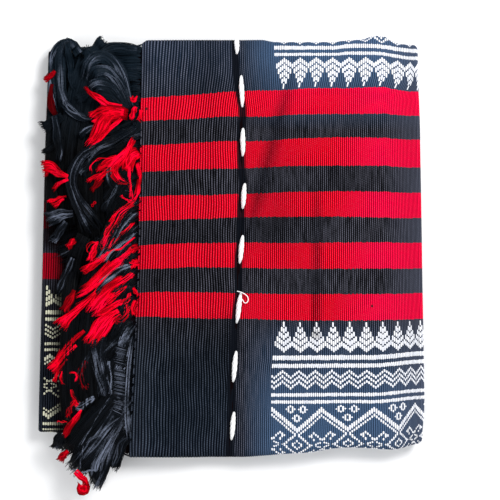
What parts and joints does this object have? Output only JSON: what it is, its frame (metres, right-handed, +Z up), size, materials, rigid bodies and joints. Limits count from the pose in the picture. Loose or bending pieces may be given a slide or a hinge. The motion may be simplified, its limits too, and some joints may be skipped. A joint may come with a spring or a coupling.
{
  "type": "handwoven blanket",
  "caption": "Black handwoven blanket with red warp stripes, white woven pattern bands, knotted fringes and a row of white tacking stitches, folded to a flat packet.",
  "frame": {"origin": "middle of the folded packet's base, on the surface that it lies on", "axes": "+Z up out of the base, +X along the cloth's warp and away from the fringes, +Y towards the far folded edge"},
  "size_m": [0.3878, 0.4547, 0.0337],
  "materials": {
    "woven_cloth": "matt ribbed handwoven cloth in black and red",
    "fringe_yarn": "soft loose yarn in black and red",
    "white_yarn": "soft matt white yarn"
  },
  "bodies": {
    "root": {"folded_cloth": "woven_cloth", "upper_fringe": "fringe_yarn", "lower_fringe": "fringe_yarn", "stitch_1": "white_yarn", "stitch_2": "white_yarn", "stitch_3": "white_yarn", "stitch_4": "white_yarn", "stitch_5": "white_yarn", "stitch_6": "white_yarn", "stitch_7": "white_yarn", "stitch_8": "white_yarn"}
  },
  "joints": []
}
